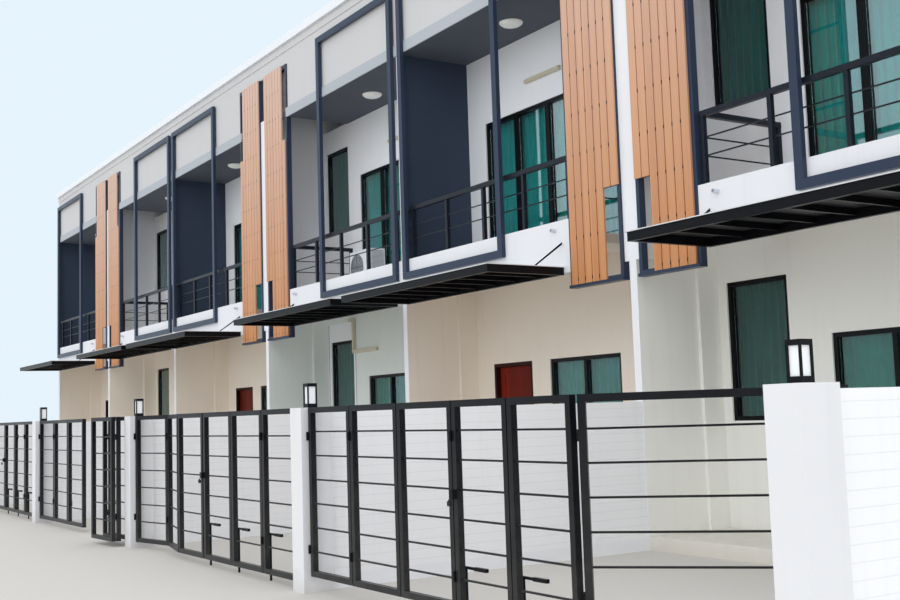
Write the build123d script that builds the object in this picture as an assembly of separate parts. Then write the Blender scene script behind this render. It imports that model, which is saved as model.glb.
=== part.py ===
from build123d import *
import os
from math import copysign, cos, radians, sin, sqrt, tan

# A row of six two-storey terraced houses, mirrored in pairs, with balconies, car porches and front gates.
# Local frame of one house: u runs from the party wall beside its portal frame (u = 0) to the party wall
# beside its slatted panel (u = house_pitch), y runs from the street into the house, z is up. Odd houses
# are placed as they are and even houses are mirrored, so portal frames and slatted panels meet in pairs.
# All sizes are millimetres.

# The row and its storeys
house_count = 6
house_pitch = 5000
house_depth = 10000
floor_top = 150
beam_bottom = 3160
kerb_top = 3800
upper_floor_top = 3660
floor_slab = 120
ceiling_bottom = 6910
ceiling_board = 20
band_height = 170
front_wall_top = 8260
seat_gap = 0.3
overcut = 1

# Walls
party_wall = 110
front_wall = 120
rear_wall = 120
porch_depth = 1200
pilaster_width = 310
pilaster_proud = 40
column_width = 260
column_depth = 200
parapet_wall = 150
fascia_height = 140
fascia_proud = 12
band_proud = 20
kerb_depth = 150

# Roof
roof_fall_deg = 4.0
roof_sheet = 40
rib_height = 35
rib_pitch = 760
rib_top = 40
rib_base = 90
roof_edge_height = 140
roof_edge_proud = 60
edge_sheet = 15
verge = 60

# Portal frame of square steel tube round one half of each front
portal_left = 100
portal_right = 2620
portal_bottom = 3505
portal_top = 7940
portal_face = 100
portal_depth = 60

# Slatted panel between the balcony and the party column
panel_left = 3930
panel_bottom = 2957
panel_top = 7880
panel_front = -50
panel_depth = 110
panel_post = 50
panel_rail = 70
panel_foot_lip = 35
panel_cross_rail = 30
cross_rail_count = 4
board_count = 7
board_gap = 15
board_thickness = 25
board_margin = 10
short_board_count = 2
short_board_bottom = 4040
late_board_top = 6500

# Balcony railing
rail_top = 4580
rail_size = 60
rail_post = 50
rail_post_first = 230
rail_post_count = 5
rail_setback = 20
rail_bar = 14
rail_bar_heights = (4105, 4300)
return_edge = 30

# Porch canopy
canopy_left = 170
canopy_right = 3800
canopy_reach = 1115
canopy_bottom = 3135
canopy_height = 90
canopy_channel = 50
rafter_width = 30
rafter_height = 60
rafter_count = 7
canopy_sheet = 10
canopy_overhang = 15
stay_width = 30
stay_thickness = 8
stay_foot = 400
stay_rise = 300

# Openings in the walls: left, right, bottom, top
door_hole = (520, 1460, floor_top, 2240)
window_hole = (1870, 3350, 1050, 2240)
tall_hole = (3900, 4780, 1350, 2920)
slider_hole = (510, 3500, upper_floor_top, 5870)
upper_tall_hole = (3950, 4810, 4950, 6500)
rear_upper_hole = (1870, 3350, 4560, 5870)

# Joinery
frame_face = 50
frame_depth = 80
mullion = 60
slider_mullion = 90
slider_lights = 4
glass = 6
door_frame_face = 50
door_thickness = 45
door_gap = 5
door_floor_gap = 8
knuckle_radius = 7
knuckle_length = 100
knuckle_count = 3
hinge_strap = 30
hinge_strap_thickness = 3
handle_height = 1000
handle_length = 120
handle_reach = 50
handle_thickness = 18
handle_inset = 60
opening_doors = (3, 5)
panel_recess = 8
door_stile = 110
curtain_thickness = 60
curtain_overlap = 60
curtain_floor_gap = 30

# Lights, spouts and the outdoor unit
lamp_radius = 165
lamp_height = 70
lamp_sides = 16
lamp_taper = 45
lamp_u = 2000
lamp_y = 660
tube_length = 800
tube_height = 60
tube_depth = 55
tube_u = 1985
tube_z = 6240
cover_house = 4
cover_width = 60
cover_depth = 55
cover_high = 3270
cover_low = 2700
cover_start = 3990
cover_drop = 3830
cover_end = 2980
spout_radius = 22
spout_bore = 17
spout_length = 70
spout_u = 3660
spout_z = 3690
unit_width = 700
unit_depth = 280
unit_height = 540
unit_mouth = 215
unit_house = 4
unit_u = 2100
unit_y = 400
unit_foot = 60

# Front fence
gate_front = -4060
post_width = 230
post_depth = 300
post_proud = 60
post_height = 1630
yard_wall = 100
yard_wall_top = 1600
half_leaves = 3
leaf_gap = 12
post_gap = 20
gate_bottom = 70
end_gate_bottom = 145
gate_top = 1630
stile = 50
gate_bar = 14
gate_bar_count = 6
gate_bar_pitch = 211
gate_hinge_radius = 11
gate_hinge_sides = 8
gate_hinge_play = 0.1
gate_hinge_length = 75
gate_hinge_heights = (380, 1375)
bolt_size = 18
bolt_rise = 450
bolt_lever = 160
lock_width = 45
lock_depth = 40
lock_length = 65
lock_height = 960
end_leaf = 680
wide_leaf = 1600
wide_leaf_turn = 43.0
open_house = 4
open_turns = (2.5, 0.5, 1.0)
ajar_house = 5
pack_turns = (3.0, 177.0, 3.0)
ajar_turns = (11.0, -11.0, 0.0)
shut_turns = (0.0, 0.0, 0.0)
lantern_width = 95
lantern_height = 220
lantern_base = 35
lantern_cap = 30
lantern_bar = 12

# Derived levels and places
houses = range(1, house_count + 1)
party_lines = range(house_count + 1)
half_wall = party_wall / 2
bay_left = half_wall
bay_right = house_pitch - half_wall
panel_right = house_pitch - column_width / 2
rear_face = house_depth - rear_wall
front_inner = porch_depth + front_wall
front_glass_y = porch_depth + front_wall / 2
slab_bottom = upper_floor_top - floor_slab
band_top = ceiling_bottom + band_height
row_length = house_count * house_pitch
roof_fall = tan(radians(roof_fall_deg))
leaf_count = 2 * half_leaves
leaf_width = (house_pitch - post_width - 2 * post_gap - (leaf_count - 1) * leaf_gap) / leaf_count
gate_mid_y = gate_front + stile / 2
post_front = gate_front - post_proud
post_back = post_front + post_depth
end_gate_left = row_length - house_pitch + post_width / 2
end_leaves = [leaf_width] * half_leaves + [end_leaf] * (half_leaves - 1)
wide_leaf_start = end_gate_left + post_gap + sum(end_leaves) + (leaf_count - 1) * leaf_gap
last_post_x = wide_leaf_start + wide_leaf + post_gap
row_left = min(-post_width / 2, -half_wall - roof_edge_proud)
roof_back = house_depth + verge + (roof_sheet + rib_height) * sin(radians(roof_fall_deg))


def block(x0, x1, y0, y1, z0, z1):
    """A box between two opposite corners."""
    return Pos((x0 + x1) / 2, (y0 + y1) / 2, (z0 + z1) / 2) * Box(x1 - x0, y1 - y0, z1 - z0)


def rod(start, end, radius):
    """A round bar between two points."""
    path = Edge.make_line(start, end)
    return sweep(Plane(start, z_dir=Vector(*end) - Vector(*start)) * Circle(radius), path)


def thin_bar(start, end, radius):
    """A long thin bar between two points, with six flat sides."""
    path = Edge.make_line(start, end)
    section = RegularPolygon(radius, 6, major_radius=False)
    return sweep(Plane(start, z_dir=Vector(*end) - Vector(*start)) * section, path)


def square_bar(start, end, side):
    """A thin square bar along u or y, between two points."""
    half = side / 2
    low = [min(a, b) for a, b in zip(start, end)]
    high = [max(a, b) for a, b in zip(start, end)]
    across = 1 if start[0] != end[0] else 0
    low[across] -= half
    high[across] += half
    return block(low[0], high[0], low[1], high[1], low[2] - half, high[2] + half)


def outline(plane, corners, thickness):
    """A flat shape with straight sides, given its thickness along the normal of its plane."""
    return extrude(plane * make_face(Polyline(*corners, close=True)), thickness)


def is_mirrored(house):
    return house % 2 == 0


def place(house, solid):
    """Put a solid of the local frame into its house, mirrored in the even houses."""
    if is_mirrored(house):
        return Pos(house * house_pitch, 0, 0) * mirror(solid, Plane.YZ)
    return Pos((house - 1) * house_pitch, 0, 0) * solid


def in_each_house(make):
    solid = make()
    return [place(house, solid) for house in houses]


def in_all_houses(solids):
    return [place(house, solid) for house in houses for solid in solids]


def save(node, solids):
    """Write the solids of one node, moved so that the origin lies under the middle of the row."""
    origin_x = (row_left + last_post_x + post_width) / 2
    origin_y = (street_edge() + roof_back) / 2
    moved = [Pos(-origin_x, -origin_y, 0) * solid for solid in solids]
    shape = moved[0] if len(moved) == 1 else Compound(moved)
    export_step(shape, f"parts/{node}.step")


def to_rear(solid):
    """Turn something of the front wall to the same place in the rear wall."""
    return mirror(solid, Plane.XZ.offset(-(front_inner + rear_face) / 2))


def hole_block(hole, y0, y1):
    left, right, bottom, top = hole
    return block(left, right, y0, y1, bottom, top)


def roof_underside(y):
    """Height of the sheet's lower face, which rests on the back edge of the tall front wall."""
    return front_wall_top - (y - parapet_wall) * roof_fall


# Masonry

def ground_slab():
    return block(-half_wall, row_length + half_wall, 0, house_depth, 0, floor_top)


def party_wall_profile():
    """The wall's side: level below, falling with the roof above."""
    corners = [
        (parapet_wall, floor_top),
        (house_depth, floor_top),
        (house_depth, roof_underside(house_depth)),
        (parapet_wall, roof_underside(parapet_wall)),
    ]
    return Plane.YZ * make_face(Polyline(*corners, close=True))


def party_wall_at(line):
    """One party wall with its pilaster, and its front column where two slatted panels meet."""
    wall = extrude(party_wall_profile(), half_wall, both=True)
    pilaster_half = half_wall + pilaster_proud
    inner = -half_wall if line == 0 else -pilaster_half
    outer = half_wall if line == house_count else pilaster_half
    wall += block(inner, outer, porch_depth - pilaster_width, porch_depth, floor_top, slab_bottom)
    wall += block(-half_wall, half_wall, 0, parapet_wall, floor_top, beam_bottom)
    if line % 2:
        wall += block(-column_width / 2, column_width / 2, 0, column_depth, beam_bottom, band_top)
    else:
        wall += block(-half_wall, half_wall, 0, parapet_wall, kerb_top, band_top)
        wall -= block(-half_wall, half_wall, 0, kerb_depth - band_proud, beam_bottom, kerb_top)
    return Pos(line * house_pitch, 0, 0) * wall


def wall_beside_door():
    return block(bay_left, door_hole[0], porch_depth, front_inner, floor_top, slab_bottom)


def wall_over_door():
    return block(door_hole[0], door_hole[1], porch_depth, front_inner,
                 door_hole[3], slab_bottom)


def wall_with_windows():
    wall = block(door_hole[1], bay_right, porch_depth, front_inner, floor_top, slab_bottom)
    cut = (porch_depth - overcut, front_inner + overcut)
    return wall - hole_block(window_hole, *cut) - hole_block(tall_hole, *cut)


def upper_front_wall():
    wall = block(bay_left, bay_right, porch_depth, front_inner, upper_floor_top, ceiling_bottom)
    cut = (porch_depth - overcut, front_inner + overcut)
    return wall - hole_block(slider_hole, *cut) - hole_block(upper_tall_hole, *cut)


def rear_wall_bay():
    """A plain rear wall with the door and windows of the front repeated."""
    wall = block(bay_left, bay_right, rear_face, house_depth, floor_top, roof_underside(house_depth))
    cut = (rear_face - overcut, house_depth + overcut)
    for hole in (door_hole, window_hole, rear_upper_hole):
        wall = wall - hole_block(hole, *cut)
    return wall


def upper_floor():
    """The room floor and the balcony floor before it, poured as one slab."""
    front = kerb_depth - band_proud
    corners = [
        (bay_left, front),
        (panel_left, front),
        (panel_left, porch_depth),
        (bay_right, porch_depth),
        (bay_right, rear_face),
        (bay_left, rear_face),
    ]
    return outline(Plane.XY.offset(slab_bottom), corners, floor_slab)


def kerb_beam():
    """The white beam under the railing, shared by the two houses beside an even party line."""
    left, right = -panel_left, panel_left
    return block(left, right, -band_proud, kerb_depth - band_proud, beam_bottom, kerb_top)


def kerb_beams():
    return [clip_to_row(Pos(line * house_pitch, 0, 0) * kerb_beam()) for line in party_lines if line % 2 == 0]


def clip_to_row(solid):
    """Cut a run that would pass the outer face of an end wall."""
    inside = block(-half_wall, row_length + half_wall, -house_depth, house_depth, 0, front_wall_top)
    return solid & inside


def ceiling_bands():
    half = panel_left + panel_post
    band = block(-half, half, -band_proud, 0, ceiling_bottom, band_top)
    return [clip_to_row(Pos(line * house_pitch, 0, 0) * band) for line in party_lines if line % 2 == 0]


def balcony_ceiling():
    return block(bay_left, panel_left, 0, porch_depth, ceiling_bottom, ceiling_bottom + ceiling_board)


def room_ceiling():
    return block(bay_left, bay_right, porch_depth, rear_face, ceiling_bottom, ceiling_bottom + ceiling_board)


def upper_wall():
    """The tall front wall over the balconies, recessed for the slatted panels, with its fascia band."""
    recess_back = panel_front + panel_depth + seat_gap
    wall = block(-half_wall, row_length + half_wall, 0, parapet_wall, band_top, front_wall_top)
    fascia = block(-half_wall, row_length + half_wall, -fascia_proud, 0,
                   front_wall_top - fascia_height, front_wall_top)
    wall = wall + fascia
    for line in party_lines:
        if line % 2:
            middle = line * house_pitch
            reach = house_pitch - panel_left + seat_gap
            wall = wall - block(middle - reach, middle + reach, -overcut, recess_back,
                                band_top - overcut, panel_top)
    return wall


# Roof

def roof_profile():
    """Flat sheet with trapezoid ribs, seen along the fall."""
    left = -half_wall - roof_edge_proud
    right = row_length + half_wall + roof_edge_proud
    bays = int((right - left) / rib_pitch)
    margin = (right - left - bays * rib_pitch) / 2
    points = [(left, 0), (right, 0), (right, roof_sheet)]
    for bay in reversed(range(bays)):
        middle = left + margin + (bay + 0.5) * rib_pitch
        points.append((middle + rib_base / 2, roof_sheet))
        points.append((middle + rib_top / 2, roof_sheet + rib_height))
        points.append((middle - rib_top / 2, roof_sheet + rib_height))
        points.append((middle - rib_base / 2, roof_sheet))
    points.append((left, roof_sheet))
    return Plane.XZ * make_face(Polyline(*points, close=True))


def roof_sheeting():
    length = (house_depth + verge) / cos(radians(roof_fall_deg))
    sheet = extrude(roof_profile(), -length)
    return Pos(0, 0, roof_underside(0)) * Rot(-roof_fall_deg, 0, 0) * sheet


def roof_edge():
    """The folded metal edge along the front: a soffit, a face and a top flange over the sheet."""
    left = -half_wall - roof_edge_proud
    right = row_length + half_wall + roof_edge_proud
    outer = -roof_edge_proud
    top = front_wall_top + roof_edge_height
    corners = [
        (outer, front_wall_top),
        (0, front_wall_top),
        (0, roof_underside(0)),
        (outer + edge_sheet, roof_underside(0)),
        (outer + edge_sheet, top - edge_sheet),
        (parapet_wall, top - edge_sheet),
        (parapet_wall, top),
        (outer, top),
    ]
    return outline(Plane.YZ.offset(left), corners, right - left)


# Steelwork of the front

def ring(hole, face, y0, y1):
    """Four bars of one width round an opening, welded at the corners; hole gives their outer edges."""
    left, right, bottom, top = hole
    inner = (left + face, right - face, bottom + face, top - face)
    return hole_block(hole, y0, y1) - hole_block(inner, y0 - overcut, y1 + overcut)


def portal_frame():
    """The square hoop that frames half of a front."""
    outer = (portal_left, portal_right, portal_bottom, portal_top)
    return ring(outer, portal_face, -band_proud - portal_depth, -band_proud)


def slat_frame():
    """Two posts, head and foot rails and the cross rails that carry the boards."""
    y0 = panel_front + board_thickness
    y1 = panel_front + panel_depth
    outer = block(panel_left, panel_right, y0, y1, panel_bottom, panel_top)
    inner = block(panel_left + panel_post, panel_right - panel_post, y0 - overcut, y1 + overcut,
                  panel_bottom + panel_rail, panel_top - panel_rail)
    foot_lip = block(panel_left, panel_right, panel_front, y0, panel_bottom, panel_bottom + panel_foot_lip)
    frame = outer - inner + foot_lip
    span = panel_top - short_board_bottom
    for number in range(cross_rail_count):
        level = short_board_bottom + span * number / cross_rail_count
        frame = frame + block(panel_left + panel_post, panel_right - panel_post, y0, y0 + panel_cross_rail,
                              level, level + panel_cross_rail)
    band_zone = block(panel_left - overcut, panel_left + panel_post + seat_gap, y0 - overcut, seat_gap,
                      ceiling_bottom - seat_gap, band_top + seat_gap)
    return frame - band_zone


def slat_boards():
    """Upright boards; two beside the party column start higher, and one beside the balcony stops lower."""
    first = panel_right - board_margin
    width = (panel_right - panel_left - 2 * board_margin - panel_post / 2) / board_count - board_gap
    boards = []
    for number in range(board_count):
        right = first - number * (width + board_gap)
        bottom = short_board_bottom if number < short_board_count else panel_bottom + panel_foot_lip
        top = late_board_top if number == board_count - 1 else panel_top
        boards.append(block(right - width, right, panel_front, panel_front + board_thickness, bottom, top))
    return boards


def railing_front():
    """Box top rail, posts standing on the kerb and two bars, welded in one piece."""
    y0 = rail_setback
    mid_y = y0 + rail_size / 2
    corner = panel_left - return_edge
    rail = block(bay_left, corner, y0, y0 + rail_size, rail_top - rail_size, rail_top)
    post_span = corner - rail_post - rail_post_first
    for number in range(rail_post_count):
        left = rail_post_first + post_span * number / (rail_post_count - 1)
        rail = rail + block(left, left + rail_post, mid_y - rail_post / 2, mid_y + rail_post / 2,
                            kerb_top, rail_top - rail_size / 2)
    for height in rail_bar_heights:
        rail = rail + square_bar((bay_left, mid_y, height), (corner - rail_post / 2, mid_y, height), rail_bar)
    return rail


def railing_return():
    """The short railing along the open side of the balcony, back to the house wall."""
    corner = panel_left - return_edge
    mid_u = corner - rail_size / 2
    y0 = rail_setback + rail_size
    rail = block(corner - rail_size, corner, y0, porch_depth, rail_top - rail_size, rail_top)
    rail = rail + block(mid_u - rail_post / 2, mid_u + rail_post / 2, porch_depth - rail_post, porch_depth,
                        upper_floor_top, rail_top - rail_size / 2)
    for height in rail_bar_heights:
        rail = rail + square_bar((mid_u, y0, height), (mid_u, porch_depth - rail_post / 2, height), rail_bar)
    return rail


def canopy_frame():
    """Front and side channels, a wall plate and rafters."""
    y1 = -band_proud
    y0 = y1 - canopy_reach
    top = canopy_bottom + canopy_height
    outer = block(canopy_left, canopy_right, y0, y1, canopy_bottom, top)
    inner = block(canopy_left + canopy_channel, canopy_right - canopy_channel, y0 + canopy_channel,
                  y1 - canopy_channel, canopy_bottom - overcut, top + overcut)
    frame = outer - inner
    span = canopy_right - canopy_left - 2 * canopy_channel
    for number in range(rafter_count):
        middle = canopy_left + canopy_channel + span * (number + 1) / (rafter_count + 1)
        frame = frame + block(middle - rafter_width / 2, middle + rafter_width / 2, y0 + canopy_channel,
                              y1 - canopy_channel, top - rafter_height, top)
    return frame


def canopy_cover():
    y1 = -band_proud
    top = canopy_bottom + canopy_height
    return block(canopy_left - canopy_overhang, canopy_right + canopy_overhang,
                 y1 - canopy_reach - canopy_overhang, y1, top, top + canopy_sheet)


def canopy_stay():
    """A flat bar from the top of the outer side channel up to the face of the beam."""
    y1 = -band_proud
    low = canopy_bottom + canopy_height + canopy_sheet
    high = low + stay_rise
    corners = [
        (y1 - stay_foot - stay_width, low),
        (y1 - stay_foot, low),
        (y1, high - stay_width),
        (y1, high),
    ]
    return outline(Plane.YZ.offset(canopy_right - canopy_channel / 2), corners, stay_thickness)


def drain_spout():
    y1 = -band_proud
    outer = thin_bar((spout_u, y1 - spout_length, spout_z), (spout_u, y1, spout_z), spout_radius)
    mouth = (spout_u, y1 - spout_length - overcut, spout_z)
    return outer - thin_bar(mouth, (spout_u, y1 - spout_length / 2, spout_z), spout_bore)


# Joinery

def light_spans(hole, lights, bar):
    """Left and right of each light in a frame that fills a hole."""
    left, right = hole[:2]
    width = (right - left - 2 * frame_face - (lights - 1) * bar) / lights
    starts = [left + frame_face + number * (width + bar) for number in range(lights)]
    return [(start, start + width) for start in starts]


def window_frame(hole, lights, bar):
    """A frame that fills a hole in the front wall, with its lights cut through."""
    y0 = front_glass_y - frame_depth / 2
    y1 = front_glass_y + frame_depth / 2
    left, right, bottom, top = hole
    frame = block(left, right, y0, y1, bottom, top)
    for start, end in light_spans(hole, lights, bar):
        frame = frame - block(start, end, y0 - overcut, y1 + overcut, bottom + frame_face, top - frame_face)
    return frame


def glass_panes(hole, lights, bar):
    bottom, top = hole[2:]
    return [block(start + seat_gap, end - seat_gap, front_glass_y - glass / 2, front_glass_y + glass / 2,
                  bottom + frame_face + seat_gap, top - frame_face - seat_gap)
            for start, end in light_spans(hole, lights, bar)]


def door_frame():
    left, right, bottom, top = door_hole
    outer = block(left, right, porch_depth, front_inner, bottom, top)
    inner = block(left + door_frame_face, right - door_frame_face, porch_depth - overcut,
                  front_inner + overcut, bottom - overcut, top - door_frame_face)
    return outer - inner


def door_leaf():
    """A timber leaf, flush with the room side of its frame, with a long recessed panel outside."""
    left = door_hole[0] + door_frame_face + door_gap
    right = door_hole[1] - door_frame_face - door_gap
    bottom = floor_top + door_floor_gap
    top = door_hole[3] - door_frame_face - door_gap
    outer_face = front_inner - door_thickness
    leaf = block(left, right, outer_face, front_inner, bottom, top)
    recess = block(left + door_stile, right - door_stile, outer_face - overcut, outer_face + panel_recess,
                   bottom + 2 * door_stile, top - door_stile)
    return leaf - recess


def hinge_axis():
    """Plan position of the line of the knuckles, which bear on the leaf and on the jamb."""
    return door_hole[0] + door_frame_face + door_gap / 2, front_inner + seat_gap + knuckle_radius


def lever_handle(face, way):
    """A cranked lever on one face of a door, way pointing out of that face."""
    neck_u = door_hole[1] - door_frame_face - door_gap - handle_inset
    low = floor_top + handle_height - handle_thickness / 2
    tip = face + way * handle_reach
    back = tip - way * handle_thickness
    corners = [
        (neck_u, face),
        (neck_u, tip),
        (neck_u - handle_length, tip),
        (neck_u - handle_length, back),
        (neck_u - handle_thickness, back),
        (neck_u - handle_thickness, face),
    ]
    return outline(Plane.XY.offset(low), corners, handle_thickness)


def hinge_knuckles(bar):
    """Barrels made by one kind of bar, upright on the hinge line."""
    u, y = hinge_axis()
    rise = (door_hole[3] - floor_top) / knuckle_count
    middles = [floor_top + rise * (number + 0.5) for number in range(knuckle_count)]
    half = knuckle_length / 2
    return [bar((u, y, middle - half), (u, y, middle + half), knuckle_radius) for middle in middles]


def strapped(barrel):
    """A barrel with the strap that holds it to the leaf."""
    left = door_hole[0] + door_frame_face + door_gap
    box = barrel.bounding_box()
    return barrel + block(left, left + hinge_strap, front_inner, front_inner + hinge_strap_thickness,
                          box.min.Z, box.max.Z)


def shut_door_ironwork():
    return [lever_handle(front_inner - door_thickness, -1)] + hinge_knuckles(thin_bar)


def opening_door_ironwork():
    levers = [lever_handle(front_inner - door_thickness, -1), lever_handle(front_inner, 1)]
    return levers + [strapped(barrel) for barrel in hinge_knuckles(rod)]


def curtain(hole, floor_level):
    """A drawn curtain that hangs against the wall round a window or door."""
    left, right, bottom, top = hole
    low = max(bottom - curtain_overlap, floor_level + curtain_floor_gap)
    y0 = front_inner + seat_gap
    return block(left - curtain_overlap, right + curtain_overlap, y0, y0 + curtain_thickness,
                 low, top + curtain_overlap)


# Lights and the outdoor unit

def ceiling_lamp():
    """A flat opal lamp that narrows downwards."""
    ceiling = Plane((lamp_u, lamp_y, ceiling_bottom), z_dir=(0, 0, -1))
    return extrude(ceiling * RegularPolygon(lamp_radius, lamp_sides), lamp_height, taper=lamp_taper)


def tube_light():
    body = block(tube_u - tube_length / 2, tube_u + tube_length / 2, porch_depth - tube_depth, porch_depth,
                 tube_z - tube_height / 2, tube_z + tube_height / 2)
    return chamfer(body.edges().filter_by(Axis.X).group_by(Axis.Y)[0], tube_height / 4)


def pipe_cover():
    """A cover that comes out of the porch wall, drops beside the tall window and runs on along the wall."""
    y = porch_depth - cover_depth / 2
    path = Polyline((cover_end, y, cover_low), (cover_drop, y, cover_low), (cover_drop, y, cover_high),
                    (cover_start, y, cover_high))
    start = Plane((cover_end, y, cover_low), x_dir=(0, 1, 0), z_dir=(1, 0, 0))
    return sweep(start * Rectangle(cover_depth, cover_width), path, transition=Transition.RIGHT)


def outdoor_unit():
    """The cooler's outdoor unit on two feet, with the round mouth of its fan."""
    z0 = upper_floor_top + unit_foot
    body = block(unit_u - unit_width / 2, unit_u + unit_width / 2, unit_y, unit_y + unit_depth,
                 z0, z0 + unit_height)
    mouth_u = unit_u + unit_width / 7
    mouth_z = z0 + unit_height / 2
    mouth = rod((mouth_u, unit_y - overcut, mouth_z), (mouth_u, unit_y + unit_depth / 2, mouth_z), unit_mouth)
    unit = body - mouth
    for side in (-1, 1):
        foot_u = unit_u + side * unit_width / 3
        unit = unit + block(foot_u - unit_foot / 2, foot_u + unit_foot / 2, unit_y, unit_y + unit_depth,
                            upper_floor_top, z0)
    return unit


# Front fence

def fence_post_lines():
    return [line * house_pitch for line in range(house_count)] + [last_post_x + post_width / 2]


def gate_post(x):
    return block(x - post_width / 2, x + post_width / 2, post_front, post_back, 0, post_height)


def yard_walls():
    return [block(x - yard_wall / 2, x + yard_wall / 2, post_back, 0, 0, yard_wall_top)
            for x in fence_post_lines()]


def end_return_wall():
    """The low wall that closes the wider end yard beside the end house."""
    return block(row_length + half_wall, last_post_x + (post_width + yard_wall) / 2, 0, yard_wall,
                 0, yard_wall_top)


def lantern(x):
    """Base, four corner bars and a flat cap over a pane on each side."""
    half = lantern_width / 2
    y = (post_front + post_back) / 2
    z0 = post_height
    z1 = z0 + lantern_height
    base = block(x - half, x + half, y - half, y + half, z0, z0 + lantern_base)
    cap = block(x - half, x + half, y - half, y + half, z1 - lantern_cap, z1)
    frame = base + cap
    for side_x in (-1, 1):
        for side_y in (-1, 1):
            cx = x + side_x * (half - lantern_bar / 2)
            cy = y + side_y * (half - lantern_bar / 2)
            frame = frame + block(cx - lantern_bar / 2, cx + lantern_bar / 2, cy - lantern_bar / 2,
                                  cy + lantern_bar / 2, z0, z1)
    return frame


def lantern_glass(x):
    half = lantern_width / 2 - lantern_bar - seat_gap
    y = (post_front + post_back) / 2
    return block(x - half, x + half, y - half, y + half, post_height + lantern_base + seat_gap,
                 post_height + lantern_height - lantern_cap - seat_gap)


def leaf(width, bottom):
    """One gate leaf standing on its left hinge line, with stiles, rails and thin bars."""
    frame = ring((0, width, bottom, gate_top), stile, -stile / 2, stile / 2)
    lowest = (bottom + gate_top - (gate_bar_count - 1) * gate_bar_pitch) / 2
    for number in range(gate_bar_count):
        z = lowest + number * gate_bar_pitch
        frame = frame + square_bar((stile / 2, 0, z), (width - stile / 2, 0, z), gate_bar)
    return frame


def turned(x, y, heading, along, across):
    """The point that lies so far along a heading, and so far across it to the left."""
    c, s = cos(radians(heading)), sin(radians(heading))
    return x + along * c - across * s, y + along * s + across * c


def hung_leaves(post_face, way, turns, widths):
    """Leaves hung on each other from a post, to the right (way 1) or to the left (way -1).

    Each leaf is turned about the pins that bear on it and on what carries it, so it stands where
    its hinges take it. Gives each leaf's start, heading and width, and each pin's place in plan.
    """
    leaves, pins = [], []
    bearing = gate_hinge_radius + gate_hinge_play
    shut = 0 if way > 0 else 180
    x, y, heading = post_face, gate_mid_y, shut
    gap, along, side = post_gap, bearing, -way
    for number, (turn, width) in enumerate(zip(turns, widths)):
        if number:
            change = shut + turn - heading
            gap, along = leaf_gap, leaf_gap / 2
            side = copysign(1, change) if change else way * (-1) ** number
        across = side * (stile / 2 + sqrt(bearing ** 2 - (gap - along) ** 2))
        pin = turned(x, y, heading, along, across)
        heading = shut + turn
        start = turned(*pin, heading, gap - along, -across)
        leaves.append((*start, heading, width))
        pins.append(pin)
        x, y = turned(*start, heading, width, 0)
    return leaves, pins


def gate_of(house):
    """The two halves of a gate, each hung from its own post; the end house has one run of six."""
    left_post = (house - 1) * house_pitch + post_width / 2
    right_post = house * house_pitch - post_width / 2
    half = [leaf_width] * half_leaves
    if house == house_count:
        turns = [0.0] * len(end_leaves) + [wide_leaf_turn]
        return [hung_leaves(left_post, 1, turns, end_leaves + [wide_leaf])]
    left_turns = {open_house: open_turns, ajar_house: ajar_turns}.get(house, shut_turns)
    right_turns = pack_turns if house == open_house else shut_turns
    return [hung_leaves(left_post, 1, left_turns, half), hung_leaves(right_post, -1, right_turns, half)]


def at_spot(spot, solid):
    x, y, heading = spot[:3]
    return Pos(x, y, 0) * Rot(0, 0, heading) * solid


def gate_leaves():
    plain = leaf(leaf_width, gate_bottom)
    leaves = []
    for house in houses[:-1]:
        leaves += [at_spot(spot, plain) for half, _ in gate_of(house) for spot in half]
    run = gate_of(house_count)[0][0]
    return leaves + [at_spot(spot, leaf(spot[3], end_gate_bottom)) for spot in run]


def street_edge():
    """How far the gates reach into the street."""
    ends = []
    for house in houses:
        for leaves, _ in gate_of(house):
            for x, y, heading, width in leaves:
                far_y = turned(x, y, heading, width, 0)[1]
                ends.append(min(y, far_y) - stile / 2 * abs(cos(radians(heading))))
    return min(ends + [post_front])


def barrel_pair(pin):
    """An upper and a lower hinge barrel on the same upright line."""
    section = Pos(*pin) * RegularPolygon(gate_hinge_radius, gate_hinge_sides)
    barrel = extrude(section, gate_hinge_length / 2, both=True)
    return [Pos(0, 0, z) * barrel for z in gate_hinge_heights]


def drop_bolt():
    """A bolt on the yard side of a leaf's left stile, down to the ground, with its lever."""
    corners = [
        (stile - bolt_size, 0),
        (stile, 0),
        (stile, bolt_rise - bolt_size),
        (stile + bolt_lever, bolt_rise - bolt_size),
        (stile + bolt_lever, bolt_rise),
        (stile - bolt_size, bolt_rise),
    ]
    return outline(Plane.XZ.offset(-stile / 2), corners, -bolt_size)


def gate_lock():
    """A lock case on the left stile of a leaf, on the street side."""
    return block(0, lock_width, -stile / 2 - lock_depth, -stile / 2, lock_height - lock_length / 2,
                 lock_height + lock_length / 2)


def bolted_leaves(house):
    """Left end and turn of the leaves right of the middle of a shut gate."""
    halves = gate_of(house)
    if len(halves) == 1:
        return [(x, y, heading) for x, y, heading, _ in halves[0][0][half_leaves:-1]]
    spots = []
    for x, y, heading, width in halves[1][0]:
        spots.append((*turned(x, y, heading, width, 0), heading - 180))
    return spots[::-1]


def gate_hardware():
    pieces = []
    for house in houses:
        for _, pins in gate_of(house):
            for pin in pins:
                pieces += barrel_pair(pin)
        if house == open_house:
            continue
        bolted = bolted_leaves(house)
        pieces += [at_spot(spot, drop_bolt()) for spot in bolted]
        pieces.append(at_spot(bolted[0], gate_lock()))
    return pieces


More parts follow.
